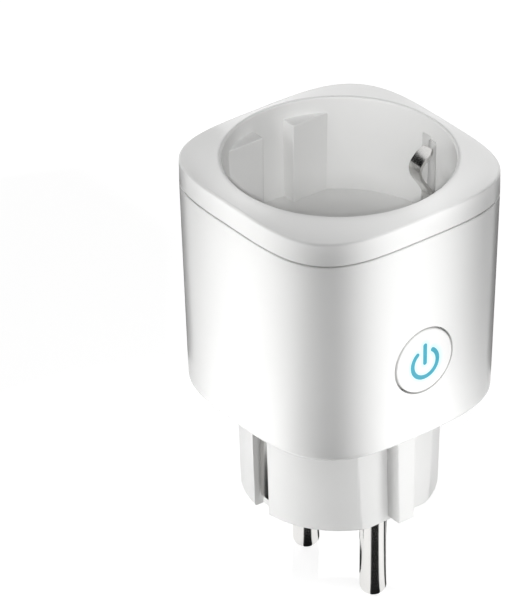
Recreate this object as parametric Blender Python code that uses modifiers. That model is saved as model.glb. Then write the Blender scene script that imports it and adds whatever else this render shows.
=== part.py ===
"""Smart plug for round side-earthed sockets: a plug below, a socket above, and a switch between them.

Metres, +Z up. The plug face is at z = 0 with the pins below it, the pins stand along Y, the push button
is on the -Y face and the earth contacts are on the X sides.
"""

import math

import bmesh
import bpy
from mathutils import Matrix, Vector

MM = 0.001

# Clearances
GAP = 0.3 * MM
SEAM = 0.3 * MM
CUP_GAP = 0.4 * MM
PIN_FIT = 0.1 * MM
BOSS_GAP = 0.4 * MM
SEAT_WALL = 0.5 * MM
PART_SPACE = 2.0 * MM

# Pins and plug base
PIN_RADIUS = 2.4 * MM
PIN_SPACING = 19.0 * MM
PIN_LENGTH = 19.1 * MM
PIN_TIP_ROUND = 1.7 * MM
PIN_TIP_GAP = 0.77 * MM
PIN_COLLAR_RADIUS = 3.3 * MM
PIN_COLLAR_HEIGHT = 1.5 * MM
PIN_TAIL_RADIUS = 1.3 * MM
BASE_RADIUS = 17.8 * MM
BASE_DRAFT = 0.5 * MM
BASE_HEIGHT = 20.0 * MM
BASE_EDGE = 0.6 * MM
BASE_FACE = 3.0 * MM
BASE_WALL = 2.0 * MM
BASE_FLAT_DEPTH = 2.1 * MM
TONGUE_WIDTH = 4.4 * MM
TONGUE_FOOT_WIDTH = 3.4 * MM
TONGUE_RISE = 0.9 * MM
TOWER_WALL = 2.2 * MM
TOWER_HEIGHT = 12.0 * MM
FLANGE_THICKNESS = 2.0 * MM
EARTH_CONTACT_DEPTH = 1.6 * MM
EARTH_STRAP_FOOT = 2.2 * MM

# Socket
RECESS_RADIUS = 19.93 * MM
RECESS_DEPTH = 18.2 * MM
RECESS_DRAFT = 0.3 * MM
RECESS_EDGE = 0.4 * MM
CUP_WALL = 1.3 * MM
CUP_FLOOR = 1.8 * MM
RIB_SETBACK = 3.2 * MM
RIB_SLOT_WIDTH = 6.5 * MM
RIB_DROP = 3.0 * MM
PIN_HOLE_RADIUS = 3.0 * MM
CLIP_SLOT_WIDTH = 3.7 * MM
CLIP_SLOT_DROP = 3.4 * MM

# Housing and rim
BODY_WALL = 1.6 * MM
BODY_FLOOR = 2.2 * MM
BODY_EDGE = 1.5 * MM
BODY_TAPER = 0.3 * MM
CORNER_POWER_TOP = 3.78
CORNER_POWER_BOTTOM = 3.3
RIM_HEIGHT = 4.23 * MM
RIM_RISE = 1.24 * MM
RIM_EDGE = 0.5 * MM

# Cover screws
BOSS_RADIUS = 2.6 * MM
SCREW_RADIUS = 1.25 * MM
SCREW_LENGTH = 12.0 * MM
SCREW_HEAD_RADIUS = 2.2 * MM
SCREW_CROWN_RADIUS = 1.75 * MM
SCREW_HEAD_HEIGHT = 1.0 * MM
SCREW_DRIVE_DEPTH = 0.6 * MM
SCREW_DRIVE_WIDTH = 0.6 * MM
SCREW_DRIVE_SPAN = 2.4 * MM

# Earth clips and straps
CLIP_WIDTH = 3.0 * MM
CLIP_THICKNESS = 0.6 * MM
CLIP_PROUD = 0.1 * MM
CLIP_BULGE = 3.5 * MM
CLIP_BULGE_DROP = 8.9 * MM
CLIP_TIP_DROP = 5.7 * MM
CLIP_LEAN_RISE = 2.4 * MM
CLIP_FOOT = 6.9 * MM
CLIP_PIVOT_DROP = 2.9 * MM
RIVET_DROP = 4.9 * MM
STRAP_WIDTH = 3.4 * MM
STRAP_THICKNESS = 0.6 * MM
STRAP_TOP_DROP = 3.3 * MM
STRAP_BEND = 0.8 * MM
RIVET_RADIUS = 0.8 * MM
RIVET_HEAD_RADIUS = 1.3 * MM
RIVET_CROWN_RADIUS = 0.9 * MM
RIVET_HEAD_HEIGHT = 0.5 * MM

# Socket contacts
CONTACT_THICKNESS = 0.6 * MM
CONTACT_PINCH = 5.0 * MM
CONTACT_BACK_RADIUS = 3.0 * MM
CONTACT_FLARE = 0.6 * MM
CONTACT_REACH = 3.3 * MM
CONTACT_HEADROOM = 1.4 * MM

# Button and key switch
BUTTON_RADIUS = 6.0 * MM
BUTTON_GAP = 0.35 * MM
BUTTON_HEIGHT = 15.7 * MM
BUTTON_PROUD = 0.1 * MM
BUTTON_FACE = 1.2 * MM
BUTTON_EDGE = 0.25 * MM
BUTTON_SKIRT = 1.0 * MM
BUTTON_FLANGE_WIDTH = 1.2 * MM
BUTTON_FLANGE_THICKNESS = 0.8 * MM
BUTTON_POST_RADIUS = 1.6 * MM
LIGHT_GUIDE_THICKNESS = 0.9 * MM
SWITCH_SIDE = 6.0 * MM
SWITCH_THICKNESS = 3.2 * MM
PLUNGER_RADIUS = 1.7 * MM
PLUNGER_PROUD = 0.9 * MM
PLUNGER_DEPTH = 1.1 * MM
PLUNGER_TRAVEL = 0.5 * MM
SWITCH_BOARD_THICKNESS = 1.0 * MM
SWITCH_BOARD_WIDTH = 13.0 * MM
SWITCH_BOARD_MARGIN = 2.0 * MM
BOARD_TAB_WIDTH = 3.0 * MM

# Main board and the parts on it: length along Y, width along X
BOARD_THICKNESS = 1.6 * MM
BOARD_PAD_RADIUS = 1.5 * MM
BOARD_PAD_ANGLE = math.radians(38)
PART_EDGE = 0.6 * MM
CHIP_EDGE = 0.3 * MM
RELAY_WIDTH = 12.3 * MM
RELAY_LENGTH = 20.5 * MM
RELAY_HEIGHT = 15.5 * MM
FILM_WIDTH = 5.0 * MM
FILM_LENGTH = 13.0 * MM
FILM_HEIGHT = 11.0 * MM
BULK_RADIUS = 4.0 * MM
BULK_HEIGHT = 13.0 * MM
FILTER_RADIUS = 3.15 * MM
FILTER_HEIGHT = 11.0 * MM
FILTER_OFFSET = 1.2 * MM
DRUM_RADIUS = 3.5 * MM
DRUM_HEIGHT = 8.0 * MM
DRUM_WAIST_RADIUS = 2.4 * MM
DRUM_FLANGE = 1.1 * MM
VARISTOR_RADIUS = 3.5 * MM
VARISTOR_THICKNESS = 3.2 * MM
FUSE_RADIUS = 1.6 * MM
FUSE_WAIST_RADIUS = 1.35 * MM
FUSE_HEIGHT = 9.0 * MM
RECTIFIER_WIDTH = 5.0 * MM
RECTIFIER_LENGTH = 4.0 * MM
RECTIFIER_HEIGHT = 2.5 * MM
CHIP_WIDTH = 5.0 * MM
CHIP_LENGTH = 4.0 * MM
CHIP_HEIGHT = 1.6 * MM
WIFI_WIDTH = 15.0 * MM
WIFI_HEIGHT = 15.0 * MM
WIFI_THICKNESS = 0.8 * MM
WIFI_SHIFT = 3.0 * MM
SHIELD_MARGIN = 1.5 * MM
SHIELD_HEIGHT = 9.0 * MM
SHIELD_THICKNESS = 2.2 * MM
LED_WIDTH = 2.0 * MM
LED_HEIGHT = 1.2 * MM
LED_THICKNESS = 0.8 * MM

# Facets and shading
AROUND = 72
BORE_STEPS = 48
BUTTON_STEPS = 40
ROUND_STEPS = 24
SMALL_STEPS = 16
EDGE_STEPS = 4
BEND_STEPS = 4
LEAF_STEPS = 8
SHARP_ANGLE = math.radians(35)

# Heights, stacked up from the plug face
base_top = BASE_HEIGHT
floor_top = base_top + BODY_FLOOR
flange_low = floor_top + GAP
flange_top = flange_low + FLANGE_THICKNESS
strap_level = flange_top + GAP
board_low = strap_level + STRAP_THICKNESS + GAP
board_top = board_low + BOARD_THICKNESS
seat = board_top + GAP
tallest = max(RELAY_HEIGHT, FILM_HEIGHT, BULK_HEIGHT, FILTER_HEIGHT, FUSE_HEIGHT, WIFI_HEIGHT)
recess_floor = max(
    board_top + PIN_LENGTH + PIN_TIP_GAP,
    seat + tallest + GAP + CUP_FLOOR,
)
bay_top = recess_floor - CUP_FLOOR
recess_edge = recess_floor + RECESS_DEPTH
rim_edge = recess_edge - RIM_RISE
rim_low = rim_edge - RIM_HEIGHT
housing_top = rim_low - SEAM
button_z = base_top + BUTTON_HEIGHT

# Widths, worked outwards from the socket recess
floor_radius = RECESS_RADIUS - RECESS_DRAFT
cup_radius = RECESS_RADIUS + CUP_WALL
contact_half = CONTACT_PINCH / 2 + CONTACT_THICKNESS + CONTACT_FLARE
relay_low_x = contact_half + PART_SPACE / 2
relay_high_x = relay_low_x + RELAY_WIDTH
clip_inner = max(floor_radius - CLIP_PROUD, relay_high_x + GAP + RIVET_HEAD_HEIGHT + GAP)
strap_inner = clip_inner + CLIP_THICKNESS + GAP
strap_outer = strap_inner + STRAP_THICKNESS
base_hole_radius = BASE_RADIUS + GAP
tongue_reach = BASE_RADIUS + TONGUE_RISE
screw_reach = base_hole_radius + SEAT_WALL + SCREW_HEAD_RADIUS + GAP
to_diagonal = 2 ** (0.5 - 1 / CORNER_POWER_BOTTOM)
room_bottom = max(strap_outer + GAP, (screw_reach + BOSS_RADIUS + BOSS_GAP) / to_diagonal)
inner_top = max(cup_radius + CUP_GAP, room_bottom + BODY_TAPER)
inner_bottom = inner_top - BODY_TAPER
half_top = inner_top + BODY_WALL
half_bottom = inner_bottom + BODY_WALL
board_half = strap_inner - BOSS_GAP
pin_y = PIN_SPACING / 2
earth_outer = BASE_RADIUS - EARTH_CONTACT_DEPTH
earth_inner = earth_outer - STRAP_THICKNESS
notch_floor = earth_inner - GAP
bore_radius = notch_floor - BASE_WALL
boss_xy = (inner_bottom * to_diagonal - BOSS_RADIUS - BOSS_GAP) / math.sqrt(2)
corners = [(sx * boss_xy, sy * boss_xy) for sx in (-1, 1) for sy in (-1, 1)]

# Depths behind the front face, as distances from the body's axis
rise = (button_z - base_top - BODY_EDGE) / (housing_top - base_top - BODY_EDGE)
front = half_bottom + (half_top - half_bottom) * rise
button_front = front + BUTTON_PROUD
button_back = button_front - BUTTON_FACE
button_flange_front = front - BODY_WALL - GAP
button_flange_back = button_flange_front - BUTTON_FLANGE_THICKNESS
contact_outer = pin_y + CONTACT_BACK_RADIUS + CONTACT_THICKNESS
side_board_back = contact_outer + BOSS_GAP
switch_board_front = side_board_back + SWITCH_BOARD_THICKNESS
switch_back = switch_board_front + GAP
switch_front = switch_back + SWITCH_THICKNESS
plunger_front = switch_front + PLUNGER_PROUD
button_post_end = plunger_front + GAP
wifi_front = side_board_back + WIFI_THICKNESS

# Places of the parts on the main board
relay_x = (relay_low_x + relay_high_x) / 2
film_x = -(strap_inner - PART_SPACE - FILM_WIDTH / 2)
film_y = -boss_xy + BOSS_RADIUS + PART_SPACE / 2 + FILM_LENGTH / 2
bulk_x = -(strap_inner - PART_SPACE - BULK_RADIUS)
bulk_y = boss_xy - BOSS_RADIUS - PART_SPACE / 2 - BULK_RADIUS
filter_x = -(contact_half + FILTER_RADIUS)
drum_x = -(contact_half + PART_SPACE / 2 + DRUM_RADIUS)
drum_y = FILTER_OFFSET - FILTER_RADIUS - PART_SPACE - DRUM_RADIUS
fuse_x = SWITCH_BOARD_WIDTH / 2 + PART_SPACE / 2 + FUSE_RADIUS
fuse_y = -(RELAY_LENGTH / 2 + PART_SPACE / 2 + FUSE_RADIUS)
wifi_x = -WIFI_SHIFT
varistor_x = wifi_x + WIFI_WIDTH / 2 + PART_SPACE / 2 + VARISTOR_THICKNESS / 2
varistor_y = RELAY_LENGTH / 2 + PART_SPACE / 2 + VARISTOR_RADIUS
chip_x = bore_radius / 2
chip_y = STRAP_WIDTH / 2 + PART_SPACE

for old in list(bpy.data.objects):
    bpy.data.objects.remove(old)

parts = bpy.data.collections.new("smart_plug")
helpers = bpy.data.collections.new("cutters")
bpy.context.scene.collection.children.link(parts)
bpy.context.scene.collection.children.link(helpers)


def new_object(name, mesh):
    """A mesh in the part's collection."""
    obj = bpy.data.objects.new(name, mesh)
    parts.objects.link(obj)
    return obj


def from_bmesh(name, bm):
    bmesh.ops.recalc_face_normals(bm, faces=bm.faces)
    mesh = bpy.data.meshes.new(name)
    bm.to_mesh(mesh)
    bm.free()
    return new_object(name, mesh)


def as_helper(obj):
    """Marks an object that only cuts or joins, so that it isn't a piece."""
    parts.objects.unlink(obj)
    helpers.objects.link(obj)
    obj.hide_render = True
    obj.display_type = "WIRE"
    return obj


def boolean(target, other, operation):
    modifier = target.modifiers.new(other.name, "BOOLEAN")
    modifier.operation = operation
    modifier.solver = "EXACT"
    modifier.object = other if other.hide_render else as_helper(other)


def cut(target, *others):
    for other in others:
        boolean(target, other, "DIFFERENCE")


def join(target, *others):
    for other in others:
        boolean(target, other, "UNION")


def baked(obj):
    """The object's evaluated shape as a plain mesh object of the same name and place."""
    bpy.context.view_layer.update()
    graph = bpy.context.evaluated_depsgraph_get()
    mesh = bpy.data.meshes.new_from_object(obj.evaluated_get(graph))
    bm = bmesh.new()
    bm.from_mesh(mesh)
    bmesh.ops.remove_doubles(bm, verts=bm.verts, dist=1e-6)
    bm.to_mesh(mesh)
    bm.free()
    name, place = obj.name, obj.matrix_world.copy()
    bpy.data.objects.remove(obj)
    solid = new_object(name, mesh)
    solid.matrix_world = place
    return solid


def finish(obj, colour, roughness, metallic=0.0):
    """Gives a piece its own material and smooth shading between its hard edges."""
    material = bpy.data.materials.new(obj.name)
    material.use_nodes = True
    shader = material.node_tree.nodes["Principled BSDF"]
    shader.inputs["Base Color"].default_value = (*colour, 1.0)
    shader.inputs["Roughness"].default_value = roughness
    shader.inputs["Metallic"].default_value = metallic
    obj.data.materials.clear()
    obj.data.materials.append(material)
    obj.data.shade_smooth()
    obj.data.set_sharp_from_angle(angle=SHARP_ANGLE)
    return obj


def superellipse(half, power, angle):
    """Distance from the centre to a rounded square of this half width; a power of 2 is a circle."""
    corner = abs(math.cos(angle)) ** power + abs(math.sin(angle)) ** power
    return half / corner ** (1 / power)


def loft(name, sections, closed=False):
    """A skin through (half width, corner power, height) sections, capped, or closed into a ring."""
    bm = bmesh.new()
    rings = []
    for half, power, height in sections:
        ring = []
        for step in range(AROUND):
            angle = 2 * math.pi * step / AROUND
            reach = superellipse(half, power, angle)
            ring.append(bm.verts.new((reach * math.cos(angle), reach * math.sin(angle), height)))
        rings.append(ring)
    following = rings[1:] + rings[:1] if closed else rings[1:]
    for low, high in zip(rings, following):
        for step in range(AROUND):
            after = (step + 1) % AROUND
            bm.faces.new((low[step], low[after], high[after], high[step]))
    if not closed:
        bm.faces.new(rings[0])
        bm.faces.new(rings[-1])
    return from_bmesh(name, bm)


def turned(name, profile, steps, ring=False):
    """A profile of (radius, height) points, run top to bottom on its outer side, turned about Z."""
    mesh = bpy.data.meshes.new(name)
    edges = [(i, i + 1) for i in range(len(profile) - 1)]
    if ring:
        edges.append((len(profile) - 1, 0))
    mesh.from_pydata([(radius, 0, height) for radius, height in profile], edges, [])
    obj = new_object(name, mesh)
    screw = obj.modifiers.new("turn", "SCREW")
    screw.steps = steps
    screw.render_steps = steps
    screw.use_merge_vertices = True
    screw.merge_threshold = 1e-5
    return baked(obj)


def arc(centre, radius, start, end, steps):
    """Points on an arc between two angles in degrees, both ends included."""
    points = []
    for step in range(steps + 1):
        angle = math.radians(start + (end - start) * step / steps)
        points.append((centre[0] + radius * math.cos(angle), centre[1] + radius * math.sin(angle)))
    return points


def cylinder(name, radius, low, high, at=(0, 0), steps=ROUND_STEPS):
    bm = bmesh.new()
    middle = Matrix.Translation((at[0], at[1], (low + high) / 2))
    bmesh.ops.create_cone(
        bm, cap_ends=True, segments=steps, radius1=radius, radius2=radius, depth=high - low, matrix=middle
    )
    return from_bmesh(name, bm)


def block(name, low, high, bevel=0.0):
    """A box between two corners, with its edges rounded."""
    low, high = Vector(low), Vector(high)
    bm = bmesh.new()
    bmesh.ops.create_cube(bm, size=1.0, matrix=Matrix.Diagonal((*(high - low), 1.0)))
    obj = from_bmesh(name, bm)
    obj.location = (low + high) / 2
    if bevel:
        rounding = obj.modifiers.new("edges", "BEVEL")
        rounding.width = bevel
        rounding.segments = 2
    return obj


def standing(name, x, y, size):
    """A moulded box of (width, length, height) on top of the main board, centred on a place."""
    width, length, height = size
    low = (x - width / 2, y - length / 2, seat)
    return block(name, low, (x + width / 2, y + length / 2, seat + height), PART_EDGE)


def hanging(name, x, size):
    """A chip of (width, length, height) on the solder side of the main board, beside the earth bridge."""
    width, length, height = size
    top = board_low - GAP
    low = (x - width / 2, chip_y, top - height)
    return block(name, low, (x + width / 2, chip_y + length, top), CHIP_EDGE)


def rounded_path(points, radius):
    """A bent path with each inner corner rounded, as sheet metal bends."""
    path = [Vector(points[0])]
    for before, corner, after in zip(points, points[1:], points[2:]):
        corner = Vector(corner)
        to_before = (Vector(before) - corner).normalized()
        to_after = (Vector(after) - corner).normalized()
        opening = to_before.angle(to_after)
        setback = radius / math.tan(opening / 2)
        first = corner + to_before * setback
        last = corner + to_after * setback
        centre = corner + (to_before + to_after).normalized() * radius / math.sin(opening / 2)
        for step in range(BEND_STEPS + 1):
            share = step / BEND_STEPS
            spoke = (first - centre).slerp(last - centre, share)
            path.append(centre + spoke * radius)
    path.append(Vector(points[-1]))
    return path


def strip(name, path, width, thickness):
    """Sheet metal: a flat path drawn as a curve, widened both ways across it and given its thickness."""
    curve = bpy.data.curves.new(name, "CURVE")
    curve.dimensions = "2D"
    curve.fill_mode = "NONE"
    curve.extrude = width / 2
    spline = curve.splines.new("POLY")
    spline.points.add(len(path) - 1)
    for point, place in zip(spline.points, path):
        point.co = (place[0], place[1], 0, 1)
    obj = baked(new_object(name, curve))
    solid = obj.modifiers.new("thickness", "SOLIDIFY")
    solid.thickness = thickness
    solid.offset = 0
    solid.use_even_offset = True
    return obj


def upright(obj):
    """Turns a strip drawn in the XY plane into the XZ plane, so that its width lies along Y."""
    obj.rotation_euler.x = math.pi / 2
    return obj


def outwards(obj):
    """Turns a piece made along Z to face -Y, at the button's height."""
    obj.rotation_euler.x = math.pi / 2
    obj.location.z = button_z
    return obj


def make_housing():
    sections = [(base_hole_radius, 2, base_top)]
    for radius, height in arc((half_bottom - BODY_EDGE, base_top + BODY_EDGE), BODY_EDGE, -90, 0, EDGE_STEPS):
        sections.append((radius, CORNER_POWER_BOTTOM, height))
    sections += [
        (half_top, CORNER_POWER_TOP, housing_top),
        (inner_top, CORNER_POWER_TOP, housing_top),
        (inner_bottom, CORNER_POWER_BOTTOM, floor_top),
        (base_hole_radius, 2, floor_top),
    ]
    housing = loft("housing", sections, closed=True)
    hole_radius = BUTTON_RADIUS + BUTTON_GAP
    hole_low, hole_high = front - 2 * BODY_WALL, front + BODY_WALL
    cut(housing, outwards(cylinder("button_opening", hole_radius, hole_low, hole_high, steps=BUTTON_STEPS)))
    way_x, way_y = TONGUE_WIDTH / 2 + GAP, tongue_reach + GAP
    way_low, way_high = (-way_x, -way_y, base_top - BODY_FLOOR), (way_x, way_y, flange_low)
    cut(housing, block("tongue_way", way_low, way_high))
    for number, at in enumerate(corners):
        seat_low = base_top - BODY_FLOOR
        seat_high = base_top + SCREW_HEAD_HEIGHT + GAP
        cut(
            housing,
            cylinder(f"head_seat_{number}", SCREW_HEAD_RADIUS + GAP, seat_low, seat_high, at),
            cylinder(f"housing_hole_{number}", SCREW_RADIUS + GAP, base_top, floor_top + BODY_FLOOR, at),
        )
    return finish(housing, (0.88, 0.88, 0.87), 0.25)


def make_cover():
    sections = [(floor_radius, 2, recess_floor)]
    mouth = arc((RECESS_RADIUS + RECESS_EDGE, recess_edge - RECESS_EDGE), RECESS_EDGE, 180, 90, EDGE_STEPS)
    brow = arc((half_top - RIM_EDGE, rim_edge - RIM_EDGE), RIM_EDGE, 90, 0, EDGE_STEPS)
    sections += [(radius, 2, height) for radius, height in mouth]
    sections += [(radius, CORNER_POWER_TOP, height) for radius, height in brow]
    sections += [
        (half_top, CORNER_POWER_TOP, rim_low),
        (cup_radius, 2, rim_low),
        (cup_radius - RECESS_DRAFT, 2, bay_top),
    ]
    cover = loft("socket_cover", sections)
    sunk = CUP_FLOOR / 4
    for number, at in enumerate(corners):
        join(cover, cylinder(f"boss_{number}", BOSS_RADIUS, strap_level, recess_floor - sunk, at))
    rib_plane = RECESS_RADIUS - RIB_SETBACK
    rib_top = recess_edge - RIB_DROP
    ribs = cylinder("ribs", RECESS_RADIUS + CUP_WALL / 2, recess_floor - sunk, rib_top, steps=AROUND)
    reach = 2 * RECESS_RADIUS
    low, high = bay_top, recess_edge
    cut(
        ribs,
        block("between_ribs", (-reach, -rib_plane, low), (reach, rib_plane, high)),
        block("rib_slot", (-RIB_SLOT_WIDTH / 2, -reach, low), (RIB_SLOT_WIDTH / 2, reach, high)),
    )
    join(cover, ribs)
    for side in (-1, 1):
        slot_x = sorted((side * (clip_inner - GAP), side * (cup_radius + CUP_GAP)))
        slot_low = (slot_x[0], -CLIP_SLOT_WIDTH / 2, bay_top - CUP_FLOOR)
        slot_high = (slot_x[1], CLIP_SLOT_WIDTH / 2, recess_edge - CLIP_SLOT_DROP)
        cut(cover, block(f"clip_slot_{side}", slot_low, slot_high))
        hole_low, hole_high = bay_top - CUP_FLOOR, recess_floor + CUP_FLOOR
        cut(cover, cylinder(f"pin_hole_{side}", PIN_HOLE_RADIUS, hole_low, hole_high, (0, side * pin_y)))
    for number, at in enumerate(corners):
        pilot_top = base_top + SCREW_LENGTH + SCREW_HEAD_HEIGHT + GAP
        cut(cover, cylinder(f"pilot_{number}", SCREW_RADIUS + GAP, flange_top, pilot_top, at, SMALL_STEPS))
    return finish(cover, (0.88, 0.88, 0.87), 0.25)


def make_plug_base():
    flange_mid = flange_low + FLANGE_THICKNESS / 2
    edge = arc((BASE_RADIUS - BASE_DRAFT - BASE_EDGE, BASE_EDGE), BASE_EDGE, 0, -90, EDGE_STEPS)
    shank = [(BASE_RADIUS, flange_mid), (BASE_RADIUS, base_top - GAP)]
    base = turned("plug_base", [(0, flange_mid), *shank, *edge, (0, 0)], AROUND)
    flange_half = inner_bottom - GAP
    flange_sections = [(flange_half, CORNER_POWER_BOTTOM, height) for height in (flange_low, flange_top)]
    join(base, loft("flange", flange_sections))
    above = flange_top + BASE_FACE
    flat = BASE_RADIUS - BASE_FLAT_DEPTH
    notch_half = STRAP_WIDTH / 2 + GAP
    cut(base, cylinder("bore", bore_radius, BASE_FACE, above, steps=BORE_STEPS))
    for side in (-1, 1):
        at = (0, side * pin_y)
        join(base, cylinder(f"tower_{side}", PIN_RADIUS + TOWER_WALL, BASE_FACE / 2, TOWER_HEIGHT, at))
        seat_top = TOWER_HEIGHT + BASE_FACE
        cut(base, cylinder(f"pin_seat_{side}", PIN_RADIUS + PIN_FIT, -BASE_FACE, seat_top, at))
        flat_y = sorted((side * flat, side * 2 * BASE_RADIUS))
        flat_low, flat_high = (-BASE_RADIUS, flat_y[0], -BASE_FACE), (BASE_RADIUS, flat_y[1], base_top - GAP)
        cut(base, block(f"flats_{side}", flat_low, flat_high))
        tongue_y = sorted((side * (flat - BASE_WALL / 2), side * tongue_reach))
        tongue_low = (-TONGUE_WIDTH / 2, tongue_y[0], BASE_EDGE)
        tongue_high = (TONGUE_WIDTH / 2, tongue_y[1], flange_mid)
        tongue = block(f"tongue_{side}", tongue_low, tongue_high, BASE_EDGE / 2)
        for vert in tongue.data.vertices:
            if vert.co.z < 0:
                vert.co.x *= TONGUE_FOOT_WIDTH / TONGUE_WIDTH
        join(base, tongue)
        notch_x = sorted((side * notch_floor, side * 2 * BASE_RADIUS))
        notch_low = (notch_x[0], -notch_half, -BASE_FACE)
        notch_high = (notch_x[1], notch_half, base_top - GAP)
        cut(base, block(f"notch_{side}", notch_low, notch_high))
        slot_x = sorted((side * notch_floor, side * (earth_outer + GAP)))
        slot_low = (slot_x[0], -notch_half, base_top - BASE_FACE)
        slot_high = (slot_x[1], notch_half, above)
        cut(base, block(f"strap_slot_{side}", slot_low, slot_high))
    pad_reach = (bore_radius + BASE_RADIUS) / 2
    pad_x, pad_y = pad_reach * math.cos(BOARD_PAD_ANGLE), pad_reach * math.sin(BOARD_PAD_ANGLE)
    pad_top = board_low - GAP
    for number, (x, y) in enumerate(corners):
        pad_at = (math.copysign(pad_x, x), math.copysign(pad_y, y))
        join(base, cylinder(f"board_pad_{number}", BOARD_PAD_RADIUS, flange_mid, pad_top, pad_at, SMALL_STEPS))
        cut(base, cylinder(f"flange_hole_{number}", SCREW_RADIUS + GAP, base_top, above, (x, y), SMALL_STEPS))
    return finish(base, (0.86, 0.86, 0.85), 0.3)


def make_pins():
    collar_low = TOWER_HEIGHT + GAP
    collar_top = collar_low + PIN_COLLAR_HEIGHT
    tail_top = board_top - GAP
    tip = arc((PIN_RADIUS - PIN_TIP_ROUND, PIN_TIP_ROUND - PIN_LENGTH), PIN_TIP_ROUND, 0, -90, EDGE_STEPS)
    profile = [
        (0, tail_top),
        (PIN_TAIL_RADIUS, tail_top),
        (PIN_TAIL_RADIUS, collar_top),
        (PIN_COLLAR_RADIUS, collar_top),
        (PIN_COLLAR_RADIUS, collar_low),
        (PIN_RADIUS, collar_low),
        *tip,
        (0, -PIN_LENGTH),
    ]
    for name, side in (("live_pin", -1), ("neutral_pin", 1)):
        pin = turned(name, profile, ROUND_STEPS)
        pin.location.y = side * pin_y
        finish(pin, (0.78, 0.77, 0.75), 0.15, 1.0)


def make_earth(name, side):
    """One side's earth line: strap up from the plug face, sprung clip in the socket, and their rivet."""
    down = side * (earth_inner + STRAP_THICKNESS / 2)
    out = side * (strap_inner + STRAP_THICKNESS / 2)
    level = strap_level + STRAP_THICKNESS / 2
    strap_path = [(down, EARTH_STRAP_FOOT), (down, level), (out, level), (out, bay_top - STRAP_TOP_DROP)]
    bent = rounded_path(strap_path, STRAP_BEND)
    strap = upright(strip(f"earth_strap_{name}", bent, STRAP_WIDTH, STRAP_THICKNESS))

    pivot = Vector((side * (clip_inner + CLIP_THICKNESS / 2), 0, bay_top - CLIP_PIVOT_DROP))
    bulge = abs(pivot.x) - (RECESS_RADIUS - CLIP_BULGE + CLIP_THICKNESS / 2)
    lean_low = recess_floor + CLIP_LEAN_RISE - pivot.z
    bulge_z = recess_edge - CLIP_BULGE_DROP - pivot.z
    tip_z = recess_edge - CLIP_TIP_DROP - pivot.z
    clip_path = [(0, bay_top - CLIP_FOOT - pivot.z)]
    for step in range(LEAF_STEPS + 1):
        share = step / LEAF_STEPS
        inwards = bulge * (1 - math.cos(math.pi * share)) / 2
        clip_path.append((-side * inwards, lean_low + (bulge_z - lean_low) * share))
    for step in range(1, LEAF_STEPS + 1):
        share = step / LEAF_STEPS
        inwards = bulge * math.cos(math.pi / 2 * share)
        clip_path.append((-side * inwards, bulge_z + (tip_z - bulge_z) * share))
    clip = upright(strip(f"earth_clip_{name}", clip_path, CLIP_WIDTH, CLIP_THICKNESS))
    clip.location = pivot

    rivet_z = bay_top - RIVET_DROP
    head = clip_inner - GAP
    profile = [
        (0, head - RIVET_HEAD_HEIGHT),
        (RIVET_CROWN_RADIUS, head - RIVET_HEAD_HEIGHT),
        (RIVET_HEAD_RADIUS, head),
        (RIVET_RADIUS, head),
        (RIVET_RADIUS, strap_outer),
        (0, strap_outer),
    ]
    rivet = turned(f"clip_rivet_{name}", [(radius, -along) for radius, along in profile], SMALL_STEPS)
    hole_low, hole_high = -strap_outer - GAP, GAP - clip_inner
    hole = cylinder(f"rivet_hole_{name}", RIVET_RADIUS + GAP, hole_low, hole_high, steps=SMALL_STEPS)
    for piece in (rivet, hole):
        piece.rotation_euler.y = -side * math.pi / 2
        piece.location.z = rivet_z
    cut(strap, hole)
    cut(clip, hole)
    finish(strap, (0.78, 0.77, 0.75), 0.25, 1.0)
    finish(clip, (0.78, 0.77, 0.75), 0.15, 1.0)
    finish(rivet, (0.7, 0.62, 0.45), 0.3, 1.0)


def make_earth_bridge():
    reach = earth_inner - GAP
    low = (-reach, -STRAP_WIDTH / 2, strap_level)
    bridge = block("earth_bridge", low, (reach, STRAP_WIDTH / 2, strap_level + STRAP_THICKNESS))
    finish(bridge, (0.72, 0.6, 0.35), 0.3, 1.0)


def make_contacts():
    """The two sprung sockets: a strip folded round the pin's path, pinched and flared at its open side."""
    pinch = CONTACT_PINCH / 2 + CONTACT_THICKNESS / 2
    back = CONTACT_BACK_RADIUS + CONTACT_THICKNESS / 2
    half_turn = arc((0, 0), back, 0, 180, 3 * BEND_STEPS)
    mouth = [(pinch + CONTACT_FLARE, -CONTACT_REACH), (pinch, -CONTACT_REACH / 2)]
    path = mouth + half_turn + [(-x, y) for x, y in reversed(mouth)]
    for name, side in (("live_contact", -1), ("neutral_contact", 1)):
        contact = strip(name, path, bay_top - CONTACT_HEADROOM - seat, CONTACT_THICKNESS)
        contact.location = (0, side * pin_y, (bay_top - CONTACT_HEADROOM + seat) / 2)
        contact.rotation_euler.z = 0 if side > 0 else math.pi
        finish(contact, (0.75, 0.6, 0.36), 0.3, 1.0)


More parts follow.
